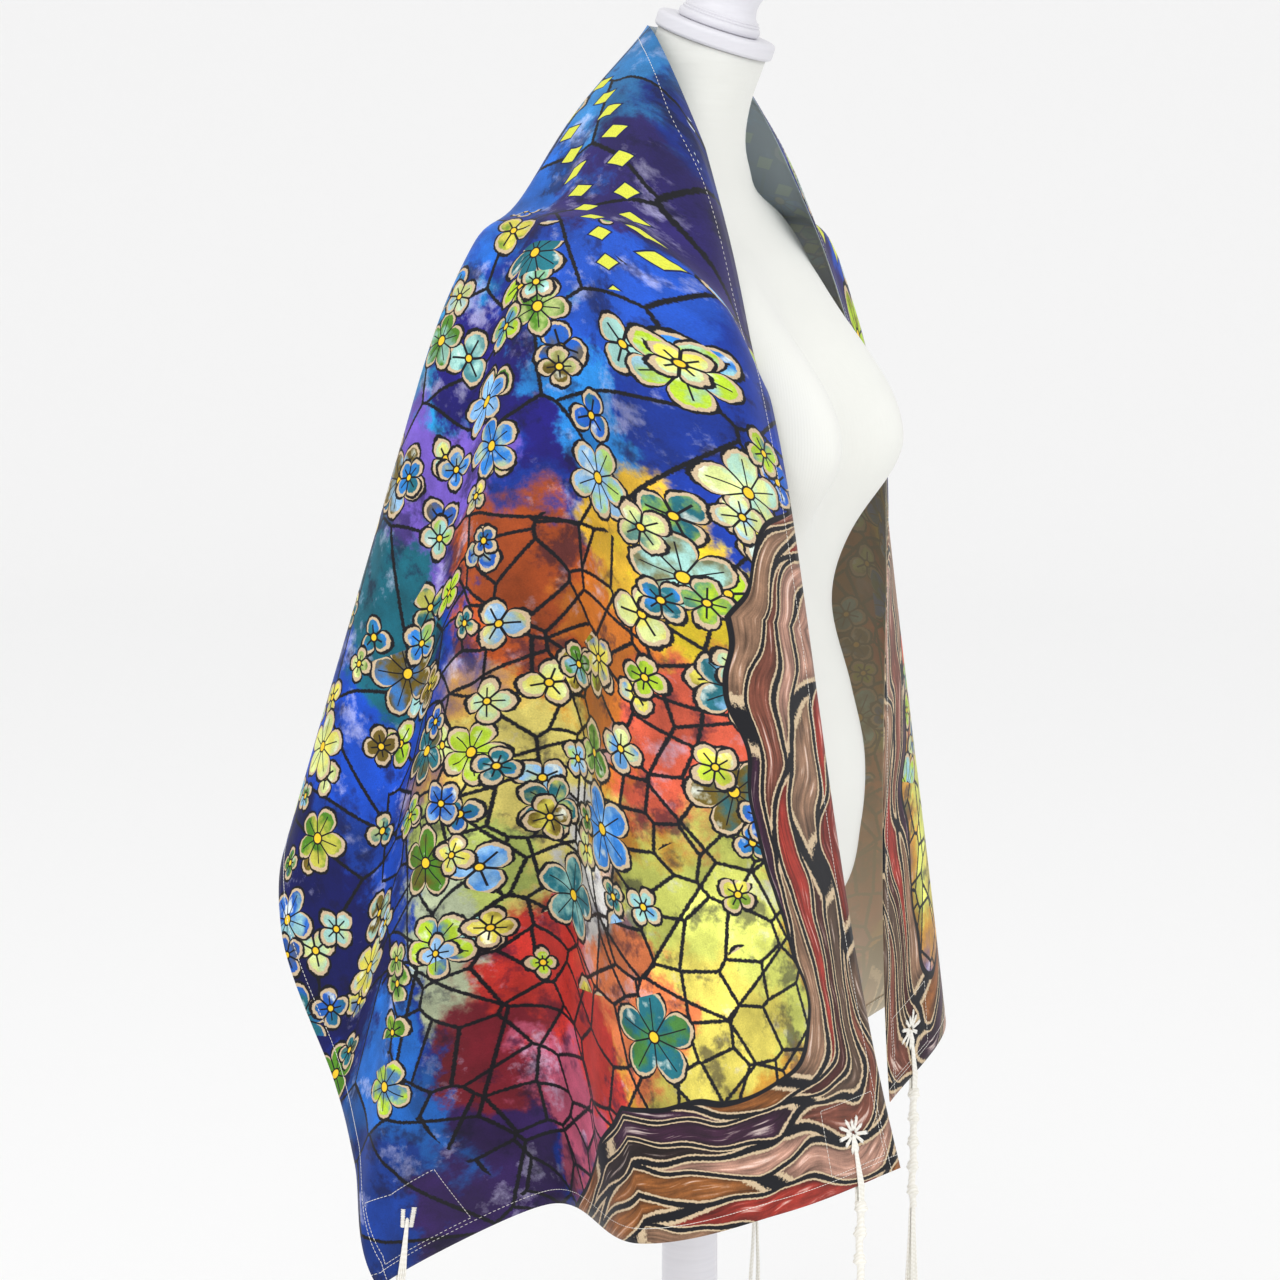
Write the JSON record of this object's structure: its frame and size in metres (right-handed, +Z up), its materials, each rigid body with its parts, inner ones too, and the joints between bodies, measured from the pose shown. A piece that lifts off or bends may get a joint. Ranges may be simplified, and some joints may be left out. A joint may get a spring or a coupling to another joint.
{
  "type": "tallit prayer shawl on a limbless dress form",
  "caption": "Fringed prayer shawl of printed cloth draped over the shoulders of a limbless dress form on a turned stand.",
  "frame": {"origin": "centre of the stand's underside, on the pole's axis", "axes": "+Z up; the form faces -Y; its right shoulder is at -X"},
  "size_m": [0.5918, 0.4782, 1.543],
  "materials": {
    "printed_cloth": "smooth printed cloth with a soft sheen",
    "patch_cloth": "reverse of the printed cloth, sewn on",
    "tassel_thread": "knotted off-white thread",
    "form_jersey": "tight white jersey cover",
    "white_paint": "turned wood in white satin paint"
  },
  "bodies": {
    "root": {"shawl_cloth": "printed_cloth", "patch_right_front": "patch_cloth", "patch_right_back": "patch_cloth", "patch_left_front": "patch_cloth", "patch_left_back": "patch_cloth", "tassel_right_front": "tassel_thread", "tassel_right_back": "tassel_thread", "tassel_left_front": "tassel_thread", "tassel_left_back": "tassel_thread", "form_body": "form_jersey", "neck_cap": "white_paint", "cap_knob": "white_paint", "stand_pole": "white_paint", "stand_base": "white_paint"}
  },
  "joints": []
}
